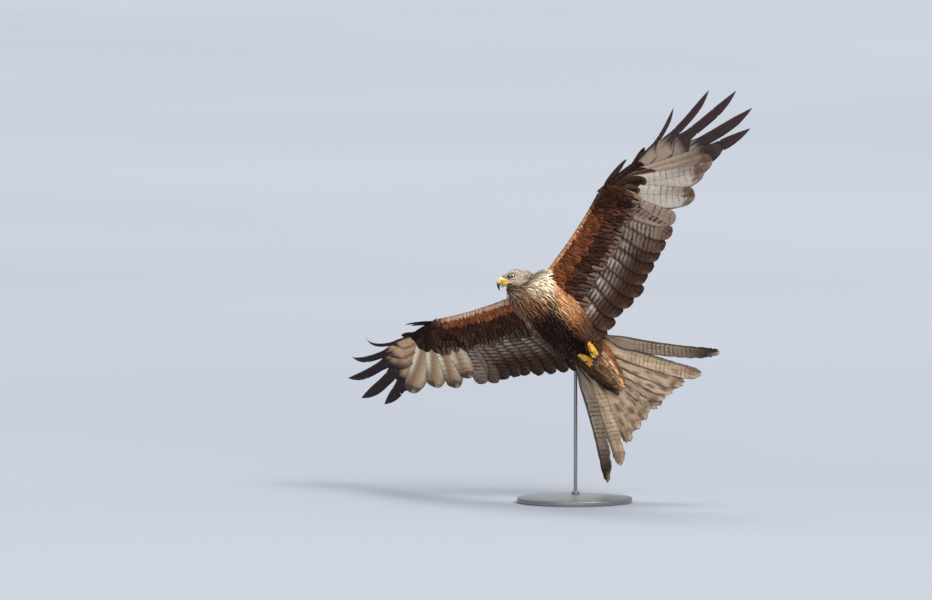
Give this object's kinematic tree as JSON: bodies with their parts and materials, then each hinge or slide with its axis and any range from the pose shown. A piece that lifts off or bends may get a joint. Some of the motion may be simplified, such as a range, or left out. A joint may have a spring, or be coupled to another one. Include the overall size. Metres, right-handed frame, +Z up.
{
  "type": "red kite model",
  "caption": "Life-size still model of a red kite in a banked turn, wings spread and forked tail twisted, held by one bent rod on a flat round base.",
  "frame": {"origin": "centre of the underside of the round stand base, on the floor", "axes": "+Z up, -Y towards the viewer of the picture and -X to their left, where the bill points; the bird banks with its back away from the viewer and its belly towards them"},
  "size_m": [1.1251, 0.7134, 1.1586],
  "materials": {
    "bill": "satin",
    "body_plumage": "feather, matt",
    "claw_horn": "satin",
    "eye": "gloss",
    "foot_skin": "satin",
    "head_plumage": "feather, matt",
    "stand_steel": "satin",
    "tail_plumage": "feather, matt",
    "wing_plumage": "feather, matt"
  },
  "bodies": {
    "root": {"bill_lower": "bill", "bill_upper": "bill", "claw_left_1": "claw_horn", "claw_left_2": "claw_horn", "claw_left_3": "claw_horn", "claw_left_4": "claw_horn", "claw_right_1": "claw_horn", "claw_right_2": "claw_horn", "claw_right_3": "claw_horn", "claw_right_4": "claw_horn", "eye_left": "eye", "eye_right": "eye", "foot_left": "foot_skin", "foot_right": "foot_skin", "head": "head_plumage", "neck": "head_plumage", "stand_base": "stand_steel", "stand_rod": "stand_steel", "tail_left": "tail_plumage", "tail_right": "tail_plumage", "thigh_left": "body_plumage", "thigh_right": "body_plumage", "torso": "body_plumage", "wing_left_arm": "wing_plumage", "wing_left_hand": "wing_plumage", "wing_right_arm": "wing_plumage", "wing_right_hand": "wing_plumage"}
  },
  "joints": []
}
